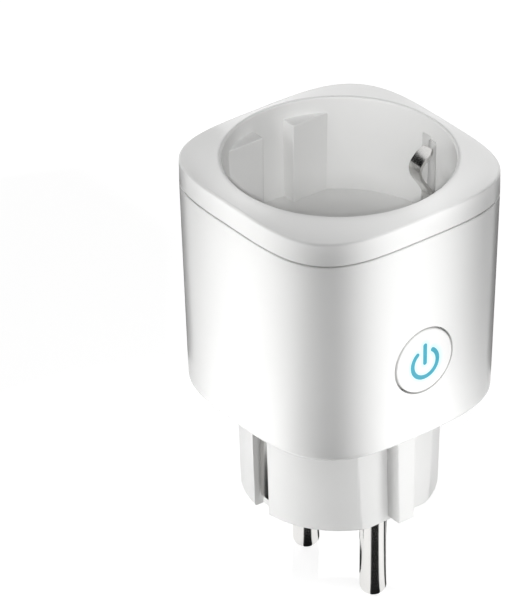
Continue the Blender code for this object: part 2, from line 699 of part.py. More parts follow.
def make_button():
    skirt = BUTTON_RADIUS - BUTTON_SKIRT
    profile = [
        (0, button_front),
        *arc((BUTTON_RADIUS - BUTTON_EDGE, button_front - BUTTON_EDGE), BUTTON_EDGE, 90, 0, 2),
        (BUTTON_RADIUS, button_flange_front),
        (BUTTON_RADIUS + BUTTON_FLANGE_WIDTH, button_flange_front),
        (BUTTON_RADIUS + BUTTON_FLANGE_WIDTH, button_flange_back),
        (skirt, button_flange_back),
        (skirt, button_back),
        (BUTTON_POST_RADIUS, button_back),
        (BUTTON_POST_RADIUS, button_post_end),
        (0, button_post_end),
    ]
    button = outwards(turned("power_button", profile, BUTTON_STEPS))
    finish(button, (0.9, 0.9, 0.89), 0.25)
    guide_front = button_back - GAP
    guide_back = guide_front - LIGHT_GUIDE_THICKNESS
    outer, inner = skirt - GAP, BUTTON_POST_RADIUS + GAP
    ring = [(outer, guide_front), (outer, guide_back), (inner, guide_back), (inner, guide_front)]
    guide = outwards(turned("button_light_guide", ring, ROUND_STEPS, ring=True))
    finish(guide, (0.7, 0.9, 0.95), 0.1)


def make_switch():
    half = SWITCH_SIDE / 2
    low, high = (-half, -switch_front, button_z - half), (half, -switch_back, button_z + half)
    body = block("tact_switch", low, high, CHIP_EDGE)
    depth = PLUNGER_DEPTH + PLUNGER_TRAVEL + GAP
    well_low, well_high = switch_front - depth, switch_front + depth
    cut(body, outwards(cylinder("plunger_well", PLUNGER_RADIUS + GAP, well_low, well_high)))
    finish(body, (0.08, 0.08, 0.08), 0.5)
    chamfer = PLUNGER_RADIUS - GAP
    profile = [
        (0, plunger_front),
        (chamfer, plunger_front),
        (PLUNGER_RADIUS, plunger_front - GAP),
        (PLUNGER_RADIUS, switch_front - PLUNGER_DEPTH),
        (0, switch_front - PLUNGER_DEPTH),
    ]
    finish(outwards(turned("switch_plunger", profile, ROUND_STEPS)), (0.75, 0.1, 0.08), 0.4)
    led_x = half + PART_SPACE / 2
    led_low = (led_x, -switch_back - LED_THICKNESS, button_z - LED_HEIGHT / 2)
    led_high = (led_x + LED_WIDTH, -switch_back, button_z + LED_HEIGHT / 2)
    finish(block("status_led", led_low, led_high), (0.75, 0.92, 0.95), 0.2)


def make_side_boards():
    """The upright boards, each with tabs that stand in slots of the main board."""
    top = button_z + SWITCH_SIDE / 2 + SWITCH_BOARD_MARGIN
    half = SWITCH_BOARD_WIDTH / 2
    board = block("switch_board", (-half, -switch_board_front, seat), (half, -side_board_back, top))
    middle = half - BOARD_TAB_WIDTH
    tabs = [(-1, -middle), (1, middle)]
    slots = []
    for end, x in tabs:
        low = (x - BOARD_TAB_WIDTH / 2, -switch_board_front, board_low)
        high = (x + BOARD_TAB_WIDTH / 2, -side_board_back, seat + BOARD_TAB_WIDTH)
        join(board, block(f"switch_tab_{end}", low, high))
        slots.append(slot_for(f"switch_slot_{end}", low, high))
    finish(board, (0.05, 0.25, 0.12), 0.4)

    half = WIFI_WIDTH / 2
    low, high = (wifi_x - half, side_board_back, seat), (wifi_x + half, wifi_front, seat + WIFI_HEIGHT)
    wifi = block("wifi_board", low, high)
    tab_low = (wifi_x - half + BOARD_TAB_WIDTH, side_board_back, board_low)
    tab_high = (wifi_x + half - BOARD_TAB_WIDTH, wifi_front, seat + BOARD_TAB_WIDTH)
    join(wifi, block("wifi_tab", tab_low, tab_high))
    slots.append(slot_for("wifi_slot", tab_low, tab_high))
    finish(wifi, (0.03, 0.08, 0.2), 0.4)
    shield_low = (wifi_x - half + SHIELD_MARGIN, wifi_front + GAP, seat + SHIELD_MARGIN)
    shield_high = (
        wifi_x + half - SHIELD_MARGIN,
        wifi_front + GAP + SHIELD_THICKNESS,
        seat + SHIELD_MARGIN + SHIELD_HEIGHT,
    )
    finish(block("wifi_shield", shield_low, shield_high, CHIP_EDGE), (0.7, 0.7, 0.68), 0.35, 1.0)
    return slots


def slot_for(name, low, high):
    """A cutter round a board's tab, with clearance, through the main board."""
    low = (low[0] - GAP, low[1] - GAP, board_low - BOARD_THICKNESS)
    return block(name, low, (high[0] + GAP, high[1] + GAP, board_top + BOARD_THICKNESS))


def make_main_board(slots):
    sections = [(board_half, CORNER_POWER_BOTTOM, height) for height in (board_low, board_top)]
    board = loft("main_board", sections)
    below, above = board_low - BOARD_THICKNESS, board_top + BOARD_THICKNESS
    for number, at in enumerate(corners):
        cut(board, cylinder(f"boss_notch_{number}", BOSS_RADIUS + BOSS_GAP, below, above, at))
    for side in (-1, 1):
        at = (0, side * pin_y)
        cut(board, cylinder(f"tail_hole_{side}", PIN_TAIL_RADIUS + GAP, below, above, at, SMALL_STEPS))
    cut(board, *slots)
    finish(board, (0.05, 0.25, 0.12), 0.4)


def can(name, x, y, radius, height, colour):
    """An electrolytic capacitor: a sleeved can with a rolled groove near its foot."""
    groove = radius / 8
    profile = [
        (0, height),
        (radius - groove, height),
        (radius, height - groove),
        (radius, 4 * groove),
        (radius - groove, 3 * groove),
        (radius, 2 * groove),
        (radius, 0),
        (0, 0),
    ]
    piece = turned(name, profile, ROUND_STEPS)
    piece.location = (x, y, seat)
    finish(piece, colour, 0.35)


def make_power_parts():
    relay = standing("relay", relay_x, 0, (RELAY_WIDTH, RELAY_LENGTH, RELAY_HEIGHT))
    finish(relay, (0.03, 0.03, 0.035), 0.4)
    film = standing("film_capacitor", film_x, film_y, (FILM_WIDTH, FILM_LENGTH, FILM_HEIGHT))
    finish(film, (0.75, 0.6, 0.1), 0.35)
    can("bulk_capacitor", bulk_x, bulk_y, BULK_RADIUS, BULK_HEIGHT, (0.03, 0.03, 0.04))
    can("filter_capacitor", filter_x, FILTER_OFFSET, FILTER_RADIUS, FILTER_HEIGHT, (0.05, 0.08, 0.25))
    rectifier = hanging("bridge_rectifier", -chip_x, (RECTIFIER_WIDTH, RECTIFIER_LENGTH, RECTIFIER_HEIGHT))
    finish(rectifier, (0.03, 0.03, 0.03), 0.5)
    chip = hanging("converter_chip", chip_x, (CHIP_WIDTH, CHIP_LENGTH, CHIP_HEIGHT))
    finish(chip, (0.03, 0.03, 0.03), 0.5)

    slope = (DRUM_RADIUS - DRUM_WAIST_RADIUS) / 2
    drum_profile = [
        (0, DRUM_HEIGHT),
        (DRUM_RADIUS, DRUM_HEIGHT),
        (DRUM_RADIUS, DRUM_HEIGHT - DRUM_FLANGE),
        (DRUM_WAIST_RADIUS, DRUM_HEIGHT - DRUM_FLANGE - slope),
        (DRUM_WAIST_RADIUS, DRUM_FLANGE + slope),
        (DRUM_RADIUS, DRUM_FLANGE),
        (DRUM_RADIUS, 0),
        (0, 0),
    ]
    drum = turned("drum_inductor", drum_profile, ROUND_STEPS)
    drum.location = (drum_x, drum_y, seat)
    finish(drum, (0.12, 0.1, 0.09), 0.5)

    half = VARISTOR_THICKNESS / 2
    rim = arc((VARISTOR_RADIUS - half, 0), half, 90, -90, EDGE_STEPS)
    varistor = turned("varistor", [(0, half), *rim, (0, -half)], ROUND_STEPS)
    varistor.rotation_euler.y = math.pi / 2
    varistor.location = (varistor_x, varistor_y, seat + VARISTOR_RADIUS)
    finish(varistor, (0.08, 0.2, 0.5), 0.35)

    fuse_profile = [
        (0, FUSE_HEIGHT),
        (FUSE_WAIST_RADIUS, FUSE_HEIGHT),
        (FUSE_RADIUS, FUSE_HEIGHT - FUSE_RADIUS),
        (FUSE_WAIST_RADIUS, FUSE_HEIGHT - 2 * FUSE_RADIUS),
        (FUSE_WAIST_RADIUS, 2 * FUSE_RADIUS),
        (FUSE_RADIUS, FUSE_RADIUS),
        (FUSE_WAIST_RADIUS, 0),
        (0, 0),
    ]
    fuse = turned("fuse_resistor", fuse_profile, SMALL_STEPS)
    fuse.location = (fuse_x, fuse_y, seat)
    finish(fuse, (0.45, 0.6, 0.65), 0.4)


def make_screws():
    """Four alike screws from below, one modelled and its mesh shared."""
    head_low = base_top
    head_top = head_low + SCREW_HEAD_HEIGHT
    profile = [
        (0, head_top + SCREW_LENGTH),
        (SCREW_RADIUS / 2, head_top + SCREW_LENGTH),
        (SCREW_RADIUS, head_top + SCREW_LENGTH - 2 * SCREW_RADIUS),
        (SCREW_RADIUS, head_top),
        (SCREW_HEAD_RADIUS, head_top),
        (SCREW_CROWN_RADIUS, head_low),
        (0, head_low),
    ]
    first = turned("cover_screw_front_left", profile, SMALL_STEPS)
    span, width = SCREW_DRIVE_SPAN / 2, SCREW_DRIVE_WIDTH / 2
    deep, below = head_low + SCREW_DRIVE_DEPTH, head_low - SCREW_DRIVE_DEPTH
    drive = block("drive_along", (-span, -width, below), (span, width, deep))
    join(drive, block("drive_across", (-width, -span, below), (width, span, deep)))
    cut(first, drive)
    first = baked(first)
    finish(first, (0.75, 0.75, 0.73), 0.3, 1.0)
    first.location = (*corners[0], 0)
    for name, at in zip(("back_left", "front_right", "back_right"), corners[1:]):
        copy = new_object(f"cover_screw_{name}", first.data)
        copy.location = (*at, 0)


make_housing()
make_cover()
make_plug_base()
make_pins()
make_earth("left", -1)
make_earth("right", 1)
make_earth_bridge()
make_contacts()
make_button()
make_switch()
make_main_board(make_side_boards())
make_power_parts()
make_screws()
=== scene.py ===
"""The looks of the smart plug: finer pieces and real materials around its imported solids.

In the solids' own frame: +Z out of the socket, the pins below z = 0, the button on the -Y face.
Piece sizes are written in millimetres.
"""

import math

import bmesh
import bpy
from mathutils import Matrix, Vector


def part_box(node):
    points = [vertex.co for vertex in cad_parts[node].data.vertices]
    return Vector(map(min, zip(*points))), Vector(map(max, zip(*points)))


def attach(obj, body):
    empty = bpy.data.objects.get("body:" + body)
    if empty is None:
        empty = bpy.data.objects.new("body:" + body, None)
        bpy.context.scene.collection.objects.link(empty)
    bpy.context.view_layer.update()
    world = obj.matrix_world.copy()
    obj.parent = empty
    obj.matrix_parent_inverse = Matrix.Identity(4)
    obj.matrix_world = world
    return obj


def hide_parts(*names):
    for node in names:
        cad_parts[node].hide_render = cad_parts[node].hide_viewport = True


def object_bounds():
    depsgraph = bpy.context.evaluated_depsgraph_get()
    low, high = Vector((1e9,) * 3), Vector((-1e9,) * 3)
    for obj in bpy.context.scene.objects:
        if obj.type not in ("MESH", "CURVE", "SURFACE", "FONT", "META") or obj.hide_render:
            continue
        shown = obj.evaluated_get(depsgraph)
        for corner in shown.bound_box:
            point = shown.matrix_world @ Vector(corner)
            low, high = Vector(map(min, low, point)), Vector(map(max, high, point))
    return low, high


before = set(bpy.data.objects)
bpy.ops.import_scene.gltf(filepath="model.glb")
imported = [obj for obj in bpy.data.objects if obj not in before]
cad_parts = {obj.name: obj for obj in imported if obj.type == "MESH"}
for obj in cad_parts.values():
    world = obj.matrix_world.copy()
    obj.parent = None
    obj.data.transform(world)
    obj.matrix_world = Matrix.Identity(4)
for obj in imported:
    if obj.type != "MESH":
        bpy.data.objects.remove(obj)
solids_low, solids_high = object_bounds()


# Plug moulding: the round base that goes into a wall socket, one injection moulding of white polycarbonate.
# Its flange is clamped under the boards inside the housing, the pins stand in its two towers, and its flats
# and side recesses are those of the usual side-earthed plug.
MM = 0.001
ROUND = 2
SLIVER = 0.0001
HARD_EDGE = 32


def linear(code):
    """An sRGB hex colour as the linear colour that shaders take."""
    channels = [int(code[place : place + 2], 16) / 255 for place in (1, 3, 5)]
    return [c / 12.92 if c <= 0.04045 else ((c + 0.055) / 1.055) ** 2.4 for c in channels] + [1.0]


def add(tree, kind, inputs, **settings):
    """Adds a node. Settings are its properties, and each input is a value or another node's output."""
    made = tree.nodes.new(kind)
    for name, value in settings.items():
        setattr(made, name, value)
    for name, value in inputs.items():
        if isinstance(value, bpy.types.NodeSocket):
            tree.links.new(value, made.inputs[name])
        else:
            made.inputs[name].default_value = value
    return made


def new_material(name):
    """A material, its node tree, the piece's own coordinates and the material's shader."""
    material = bpy.data.materials.new(name)
    material.use_nodes = True
    tree = material.node_tree
    coords = add(tree, "ShaderNodeTexCoord", {}).outputs["Object"]
    return material, tree, coords, tree.nodes["Principled BSDF"]


def moulded_plastic(name, tones, mottle_size, gloss, peel_size, relief, ior):
    """A moulded skin: a mottle of two close tones, an orange peel, and edges that the mould leaves round."""
    material, tree, coords, shader = new_material(name)
    mottle = add(
        tree, "ShaderNodeTexNoise", {"Vector": coords, "Scale": 1 / (mottle_size * MM), "Detail": 3.0}
    )
    tint = add(
        tree, "ShaderNodeMix",
        {"Factor": mottle.outputs["Fac"], "A": linear(tones[0]), "B": linear(tones[1])}, data_type="RGBA",
    )
    shine = add(
        tree, "ShaderNodeMapRange", {"Value": mottle.outputs["Fac"], "To Min": gloss[0], "To Max": gloss[1]}
    )
    peel = add(tree, "ShaderNodeTexNoise", {"Vector": coords, "Scale": 1 / (peel_size * MM), "Detail": 1.0})
    soft_edge = add(tree, "ShaderNodeBevel", {"Radius": 0.12 * MM}, samples=4)
    skin = add(
        tree, "ShaderNodeBump",
        {
            "Height": peel.outputs["Fac"], "Strength": relief, "Distance": 0.01 * MM,
            "Normal": soft_edge.outputs["Normal"],
        },
    )
    shader.inputs["IOR"].default_value = ior
    tree.links.new(tint.outputs["Result"], shader.inputs["Base Color"])
    tree.links.new(shine.outputs["Result"], shader.inputs["Roughness"])
    tree.links.new(skin.outputs["Normal"], shader.inputs["Normal"])
    return material


def arc(centre, radius, start, end, steps=8):
    """Points on an arc between two angles in degrees, both ends included."""
    turns = [math.radians(start + (end - start) * step / steps) for step in range(steps + 1)]
    return [(centre[0] + radius * math.cos(turn), centre[1] + radius * math.sin(turn)) for turn in turns]


def rounded(power, centre, radius, start, end, steps=8):
    """Sections for a loft along an arc, all of one corner power."""
    return [(half, power, height) for half, height in arc(centre, radius, start, end, steps)]


def span(side, near, far):
    """The low and high ends of a stretch on one side of the middle."""
    return sorted((side * near, side * far))


def make_piece(name, bm):
    """A mesh object from a bmesh in millimetres."""
    bmesh.ops.recalc_face_normals(bm, faces=bm.faces)
    mesh = bpy.data.meshes.new(name)
    bm.to_mesh(mesh)
    bm.free()
    mesh.transform(Matrix.Scale(MM, 4))
    piece = bpy.data.objects.new(name, mesh)
    bpy.context.scene.collection.objects.link(piece)
    return piece


def shift(piece, x=0, y=0):
    """Moves a piece's mesh sideways by millimetres."""
    piece.data.transform(Matrix.Translation((x * MM, y * MM, 0)))
    return piece


def reach_at(turn, half, power):
    """How far a section of this half width and corner power reaches at a turn in radians."""
    return half / (abs(math.cos(turn)) ** power + abs(math.sin(turn)) ** power) ** (1 / power)


def loft(name, sections, closed=False, around=180):
    """A skin through (half width, corner power, height) sections: a power over ROUND is squarer."""
    bm = bmesh.new()
    rings = []
    for half, power, height in sections:
        ring = []
        for step in range(around):
            turn = 2 * math.pi * step / around
            reach = reach_at(turn, half, power)
            ring.append(bm.verts.new((reach * math.cos(turn), reach * math.sin(turn), height)))
        rings.append(ring)
    if not closed:
        bm.faces.new(rings[0])
        bm.faces.new(rings[-1])
    for low, high in zip(rings, rings[1:] + rings[:1] if closed else rings[1:]):
        for step in range(around):
            after = (step + 1) % around
            bm.faces.new((low[step], low[after], high[after], high[step]))
    return make_piece(name, bm)


def rod(name, radius, low, high, at=(0, 0), around=48):
    """A plain cylinder between two heights."""
    return shift(loft(name, [(radius, ROUND, low), (radius, ROUND, high)], around=around), *at)


def box(name, low, high):
    """A plain block between two corners."""
    low, high = Vector(low), Vector(high)
    size = Matrix.Diagonal((*(high - low), 1))
    bm = bmesh.new()
    bmesh.ops.create_cube(bm, size=1.0, matrix=Matrix.Translation((low + high) / 2) @ size)
    return make_piece(name, bm)


def carve(piece, operation, *tools):
    """Cuts or joins the tools in turn, keeps a plain mesh without slivers, and removes the tools."""
    for tool in tools:
        modifier = piece.modifiers.new(tool.name, "BOOLEAN")
        modifier.operation = operation
        modifier.solver = "EXACT"
        modifier.object = tool
    bpy.context.view_layer.update()
    evaluated = piece.evaluated_get(bpy.context.evaluated_depsgraph_get())
    piece.data = bpy.data.meshes.new_from_object(evaluated)
    piece.modifiers.clear()
    bm = bmesh.new()
    bm.from_mesh(piece.data)
    bmesh.ops.remove_doubles(bm, verts=bm.verts, dist=SLIVER * MM)
    bmesh.ops.dissolve_degenerate(bm, dist=SLIVER * MM, edges=bm.edges)
    bm.to_mesh(piece.data)
    bm.free()
    for tool in tools:
        bpy.data.objects.remove(tool)


def dress(piece, material, body, slot, *nodes):
    """Shades a piece smooth between its hard edges, gives it its material, and ties it to its solid."""
    piece.data.materials.clear()
    piece.data.materials.append(material)
    piece.data.shade_smooth()
    piece.data.set_sharp_from_angle(angle=math.radians(HARD_EDGE))
    weighted = piece.modifiers.new("even_shading", "WEIGHTED_NORMAL")
    weighted.keep_sharp = True
    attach(piece, body)
    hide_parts(*nodes)


# White polycarbonate from a polished mould: a soft gloss, a faint mottle where the melt met, a fine orange
# peel about 0.5 mm across, and edges that the mould leaves slightly round.
polycarbonate = moulded_plastic(
    "moulded_white_polycarbonate", ("#E6E6E5", "#EAEAE9"), mottle_size=9, gloss=(0.26, 0.36),
    peel_size=0.5, relief=0.04, ior=1.58,
)

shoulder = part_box("housing")[0].z / MM
seat_gap = 0.3
base_radius, base_draft, base_edge, base_face = 17.8, 0.5, 0.6, 3.0
flange_half, foot_corner = 21.03, 3.3
flange_low, flange_middle, flange_top = shoulder + 2.5, shoulder + 3.5, shoulder + 4.5
bore_radius, pin_seat_radius, pin_y = 13.3, 2.5, 9.5
tower_radius, tower_low, tower_top = 4.6, 1.5, 12.0
flat_reach, flat_half = 15.7, 17.9
notch_reach, notch_half, slot_reach = 15.3, 2.0, 16.5
tongue_root, tongue_reach, tongue_foot = 14.7, 18.7, 0.6
tongue_half, tongue_foot_half, tongue_round = 2.2, 1.7, 0.3
screw_reach, screw_clear = 15.17, 1.55
pad_x, pad_y, pad_radius, pad_top = 12.253, 9.573, 1.5, shoulder + 5.4
# Cutters run past the faces that they open.
past, outside, cut_top = 3.0, 36.0, shoulder + 8

shank = [(base_radius, ROUND, flange_middle), (base_radius, ROUND, shoulder - seat_gap)]
foot = rounded(ROUND, (base_radius - base_draft - base_edge, base_edge), base_edge, 0, -90)
plug_moulding = loft("plug_moulding", shank + foot, around=240)
flange = [(flange_half, foot_corner, height) for height in (flange_low, flange_top)]
carve(plug_moulding, "UNION", loft("flange", flange))
carve(plug_moulding, "DIFFERENCE", rod("bore", bore_radius, base_face, cut_top, around=120))
screw_places = {
    "front_left": (-screw_reach, -screw_reach), "back_left": (-screw_reach, screw_reach),
    "front_right": (screw_reach, -screw_reach), "back_right": (screw_reach, screw_reach),
}
for side in (-1, 1):
    pin_at = (0, side * pin_y)
    carve(plug_moulding, "UNION", rod("tower", tower_radius, tower_low, tower_top, pin_at))
    carve(plug_moulding, "DIFFERENCE", rod("pin_seat", pin_seat_radius, -past, tower_top + past, pin_at))
    flat_low, flat_high = span(side, flat_reach, outside)
    flats = box("flats", (-flat_half, flat_low, -past), (flat_half, flat_high, shoulder - seat_gap))
    carve(plug_moulding, "DIFFERENCE", flats)
    tongue_low, tongue_high = span(side, tongue_root, tongue_reach)
    tongue = box("tongue", (-tongue_half, tongue_low, tongue_foot), (tongue_half, tongue_high, flange_middle))
    for vert in tongue.data.vertices:
        if vert.co.z < shoulder / 2 * MM:
            vert.co.x *= tongue_foot_half / tongue_half
    rounding = tongue.modifiers.new("rounding", "BEVEL")
    rounding.width = tongue_round * MM
    rounding.segments = 4
    carve(tongue, "UNION")
    carve(plug_moulding, "UNION", tongue)
    notch_low, notch_high = span(side, notch_reach, outside)
    slot_low, slot_high = span(side, notch_reach, slot_reach)
    carve(
        plug_moulding, "DIFFERENCE",
        box("earth_recess", (notch_low, -notch_half, -past), (notch_high, notch_half, shoulder - seat_gap)),
        box("strap_slot", (slot_low, -notch_half, shoulder - past), (slot_high, notch_half, cut_top)),
    )
for x, y in screw_places.values():
    carve(plug_moulding, "DIFFERENCE", rod("flange_hole", screw_clear, shoulder, cut_top, (x, y)))
    pad_at = (math.copysign(pad_x, x), math.copysign(pad_y, y))
    carve(plug_moulding, "UNION", rod("board_pad", pad_radius, flange_middle, pad_top, pad_at, around=32))
dress(plug_moulding, polycarbonate, "plug_body", "plug_moulding", "plug_base")


# Pins: turned brass rods with rounded tips, bright nickel plated, pressed into the plug's towers against a
# collar and soldered to the main board by their thin tails.

# Bright nickel over turned brass: a mirror with a faint haze. Turning leaves rings about 0.1 mm apart, which
# are drawn 1.9 mm apart so that they show. A wave texture turns 20 radians in each unit of its scale.
ring_spacing, wave_turn = 1.885, 20
nickel, tree, coords, shader = new_material("bright_nickel_plate")
rings = add(
    tree, "ShaderNodeTexWave",
    {
        "Vector": coords, "Scale": 2 * math.pi / wave_turn / (ring_spacing * MM),
        "Distortion": 1.5, "Detail": 1.0,
    },
    bands_direction="Z",
)
haze = add(tree, "ShaderNodeTexNoise", {"Vector": coords, "Scale": 1 / (3 * MM), "Detail": 3.0})
plate_gloss = add(
    tree, "ShaderNodeMapRange", {"Value": haze.outputs["Fac"], "To Min": 0.12, "To Max": 0.2}
)
turned = add(
    tree, "ShaderNodeBump", {"Height": rings.outputs["Fac"], "Strength": 0.05, "Distance": 0.01 * MM}
)
shader.inputs["Metallic"].default_value = 1.0
shader.inputs["Base Color"].default_value = linear("#E2E1DF")
tree.links.new(plate_gloss.outputs["Result"], shader.inputs["Roughness"])
tree.links.new(turned.outputs["Normal"], shader.inputs["Normal"])

pin_radius, pin_length, tip_round, pin_chamfer = 2.4, 19.1, 1.7, 0.1
tail_radius, tail_top = 1.3, shoulder + 7.0
collar_radius, collar_low, collar_top = 3.3, 12.3, 13.8
pin_profile = [
    (tail_radius - pin_chamfer, ROUND, tail_top), (tail_radius, ROUND, tail_top - pin_chamfer),
    (tail_radius, ROUND, collar_top), (collar_radius - pin_chamfer, ROUND, collar_top),
    (collar_radius, ROUND, collar_top - pin_chamfer), (collar_radius, ROUND, collar_low),
    (pin_radius, ROUND, collar_low),
    *rounded(ROUND, (pin_radius - tip_round, tip_round - pin_length), tip_round, 0, -88, steps=12),
]
for name, y in (("live_pin", -pin_y), ("neutral_pin", pin_y)):
    pin = shift(loft(f"turned_{name}", pin_profile, around=72), y=y)
    dress(pin, nickel, "plug_body", "nickel_plate", name)


# Earth straps: strips of plated brass stamped 0.6 mm thick, bent up from the plug's side recesses, out over
# its flange and up the housing's walls to the socket's clips, which are riveted to them.
strip_thickness, strip_ease = 0.6, 0.08
rivet_radius, rivet_near, rivet_far, rivet_height = 1.1, 19.0, 22.0, shoulder + 20.47


def strip(name, path, half_widths):
    """Stamped sheet: a path in the XZ plane, a half width at each point, and eased edges."""
    bm = bmesh.new()
    rows = []
    for (x, z), half in zip(path, half_widths):
        rows.append([bm.verts.new((x, share * half, z)) for share in (-1, 0, 1)])
    for low, high in zip(rows, rows[1:]):
        for column in (0, 1):
            bm.faces.new((low[column], low[column + 1], high[column + 1], high[column]))
    piece = make_piece(name, bm)
    sheet = piece.modifiers.new("thickness", "SOLIDIFY")
    sheet.thickness = strip_thickness * MM
    sheet.offset = 0
    sheet.use_even_offset = True
    eased = piece.modifiers.new("eased_edges", "BEVEL")
    eased.width = strip_ease * MM
    eased.segments = 2
    eased.angle_limit = math.radians(50)
    return piece


def rivet_hole(side):
    """The cutter for a rivet's hole through a strap or a clip's foot, at one of the side walls."""
    hole = rod("rivet_hole", rivet_radius, rivet_near, rivet_far, around=32)
    lying = Matrix.Rotation(side * math.pi / 2, 4, "Y")
    hole.data.transform(Matrix.Translation((0, 0, rivet_height * MM)) @ lying)
    return hole


# Rolled and plated strip shows fine lines along its length, 0.1 mm apart; they are drawn 0.25 mm apart so
# that they show.
rolled, tree, coords, shader = new_material("rolled_nickel_plated_brass")
stretch = add(tree, "ShaderNodeMapping", {"Vector": coords, "Scale": (0.05, 1.0, 0.05)})
lines = add(
    tree, "ShaderNodeTexNoise", {"Vector": stretch.outputs["Vector"], "Scale": 1 / (0.25 * MM), "Detail": 2.0}
)
strip_gloss = add(
    tree, "ShaderNodeMapRange", {"Value": lines.outputs["Fac"], "To Min": 0.12, "To Max": 0.26}
)
drawn = add(
    tree, "ShaderNodeBump", {"Height": lines.outputs["Fac"], "Strength": 0.08, "Distance": 0.01 * MM}
)
shader.inputs["Metallic"].default_value = 1.0
shader.inputs["Base Color"].default_value = linear("#DBDAD8")
tree.links.new(strip_gloss.outputs["Result"], shader.inputs["Roughness"])
tree.links.new(drawn.outputs["Normal"], shader.inputs["Normal"])

contact_x, wall_x, crossing, bend = 15.9, 20.73, shoulder + 5.1, 0.8
strap_half, strap_end_half = 1.7, 1.4
strap_path = [
    *[(contact_x, height) for height in (2.2, 2.8, 8, 13, 18)],
    *arc((contact_x + bend, crossing - bend), bend, 180, 90),
    *arc((wall_x - bend, crossing + bend), bend, -90, 0),
    *[(wall_x, shoulder + height) for height in (10.5, 15.5, 22.07)],
]
strap_widths = [strap_end_half, *[strap_half] * (len(strap_path) - 1)]
for name, side in (("left", -1), ("right", 1)):
    strap = strip(f"bent_strap_{name}", [(side * x, z) for x, z in strap_path], strap_widths)
    carve(strap, "DIFFERENCE", rivet_hole(side))
    dress(strap, rolled, "plug_body", "nickel_plate", f"earth_strap_{name}")


# Works inside the housing: circuit boards, the parts on them, and the brass that joins pins, clips and
# contacts. They are bought-in or stamped pieces, so the solids' own shapes serve, each in its own material.
def finish_inner(name, colour, colour_two, grain, roughness, relief, metallic, *nodes):
    """A material in two close tones with a grain in millimetres, on pieces that keep their solid's shape."""
    material, tree, coords, shader = new_material(name)
    grit = add(tree, "ShaderNodeTexNoise", {"Vector": coords, "Scale": 1 / (grain * MM), "Detail": 2.0})
    tone = add(
        tree, "ShaderNodeMix",
        {"Factor": grit.outputs["Fac"], "A": linear(colour), "B": linear(colour_two)}, data_type="RGBA",
    )
    bump = add(
        tree, "ShaderNodeBump", {"Height": grit.outputs["Fac"], "Strength": relief, "Distance": 0.05 * MM}
    )
    shader.inputs["Metallic"].default_value = metallic
    shader.inputs["Roughness"].default_value = roughness
    tree.links.new(tone.outputs["Result"], shader.inputs["Base Color"])
    tree.links.new(bump.outputs["Normal"], shader.inputs["Normal"])
    for node in nodes:
        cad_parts[node].data.materials.clear()
        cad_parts[node].data.materials.append(material)


# Lacquer over copper on the boards, tinned sheet, moulded cases with a spark-eroded grain, shrunk film on the
# cans, dull pressed ferrite, dipped and lacquered coats, clear resins, and bare rolled brass.
finish_inner("green_solder_mask", "#1F6B43", "#2B7F50", 1.2, 0.35, 0.1, 0, "main_board", "switch_board")
finish_inner("blue_solder_mask", "#1B3A66", "#244A7C", 1.2, 0.35, 0.1, 0, "wifi_board")
finish_inner("tinned_steel_can", "#C9CAC7", "#B9BAB8", 0.8, 0.32, 0.05, 1, "wifi_shield")
finish_inner(
    "black_moulded_nylon", "#202123", "#2A2B2D", 0.4, 0.5, 0.2, 0,
    "relay", "tact_switch", "bridge_rectifier", "converter_chip",
)
finish_inner("red_moulded_acetal", "#C4322A", "#B02A24", 0.5, 0.4, 0.05, 0, "switch_plunger")
finish_inner("yellow_polyester_case", "#DDBE45", "#D2B23A", 0.6, 0.38, 0.1, 0, "film_capacitor")
finish_inner("black_shrunk_sleeve", "#26272C", "#303138", 0.8, 0.3, 0.05, 0, "bulk_capacitor")
finish_inner("blue_shrunk_sleeve", "#33497F", "#3C548E", 0.8, 0.3, 0.05, 0, "filter_capacitor")
finish_inner("sintered_ferrite", "#4A4541", "#57514C", 0.3, 0.6, 0.3, 0, "drum_inductor")
finish_inner("blue_dipped_epoxy", "#3E6FAE", "#3765A0", 1.5, 0.28, 0.1, 0, "varistor")
finish_inner("grey_lacquered_ceramic", "#A9BFC4", "#9DB4BA", 0.5, 0.42, 0.1, 0, "fuse_resistor")
finish_inner("clear_lamp_resin", "#DDF3F6", "#CFEDF2", 1.0, 0.15, 0.02, 0, "status_led")
finish_inner("clear_acrylic", "#DDF4F7", "#CDEEF3", 2.0, 0.12, 0.02, 0, "button_light_guide")
finish_inner(
    "spring_brass", "#D9B878", "#CDAA68", 0.5, 0.3, 0.05, 1,
    "live_contact", "neutral_contact", "earth_bridge",
)
finish_inner("plain_brass", "#CFB27C", "#C2A46C", 0.4, 0.34, 0.05, 1, "clip_rivet_left", "clip_rivet_right")


# Housing: the rounded-square sleeve round the works, injection moulded in gloss white ABS. Its floor holds
# the plug moulding's flange, its front has the round opening for the button, and four screws go up through
# it into the cover.

# Polished ABS: a deep even gloss, with the melt's faint mottle and an orange peel about 0.6 mm across.
gloss_abs = moulded_plastic(
    "moulded_gloss_white_abs", ("#F1F1F0", "#F4F4F3"), mottle_size=14, gloss=(0.18, 0.26),
    peel_size=0.6, relief=0.03, ior=1.54,
)

housing_height, floor_thickness, body_wall = 39.6, 2.2, 1.6
half_top, body_taper, foot_round, seam_bevel = 23.23, 0.3, 1.5, 0.12
top_corner = 3.78
head_seat_radius, head_seat_depth = 2.5, 1.3
opening_radius, opening_near, opening_far, button_z = 6.35, 20.0, 25.0, shoulder + 15.7
cut_low, way_top, screw_hole_top = shoulder - 2, shoulder + 2.5, shoulder + 5
wall_steps = 20

